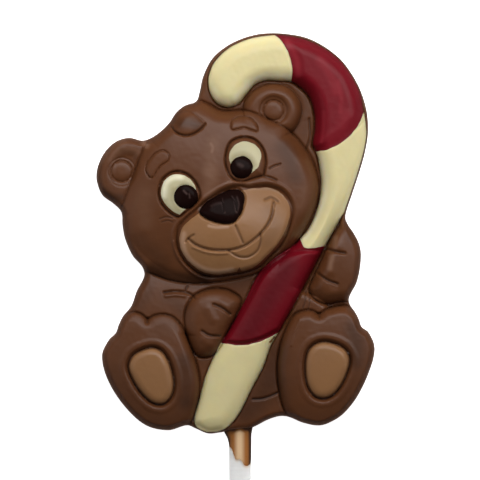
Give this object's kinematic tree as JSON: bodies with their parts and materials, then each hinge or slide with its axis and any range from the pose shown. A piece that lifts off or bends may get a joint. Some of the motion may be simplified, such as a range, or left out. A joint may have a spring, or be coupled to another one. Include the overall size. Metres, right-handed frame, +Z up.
{
  "type": "chocolate lollipop",
  "caption": "Flat-backed moulded chocolate lollipop: a smiling teddy bear in relief hugging a red and white candy cane, on a round paper stick.",
  "frame": {"origin": "on the flat back plane, below the axis of the stick, about 40 mm above the chocolate's lower edge", "axes": "+Z up out of the relief, with the flat back down; +Y towards the top of the bear's head; -Y along the stick to its free end; +X to the bear's arm that is at the right of the picture"},
  "size_m": [0.0558, 0.1641, 0.0127],
  "materials": {
    "milk_chocolate": "satin",
    "white_chocolate": "satin",
    "red_chocolate": "satin",
    "dark_chocolate": "satin",
    "caramel_chocolate": "satin",
    "stick_paper": "matte"
  },
  "bodies": {
    "root": {"body": "milk_chocolate", "cane_white_tip": "white_chocolate", "cane_red_hook": "red_chocolate", "cane_white_middle": "white_chocolate", "cane_red_middle": "red_chocolate", "cane_white_foot": "white_chocolate", "eye_white_left": "white_chocolate", "eye_white_right": "white_chocolate", "pupil_left": "dark_chocolate", "pupil_right": "dark_chocolate", "muzzle": "caramel_chocolate", "nose": "dark_chocolate", "foot_pad_left": "caramel_chocolate", "foot_pad_right": "caramel_chocolate", "stick": "stick_paper"}
  },
  "joints": []
}
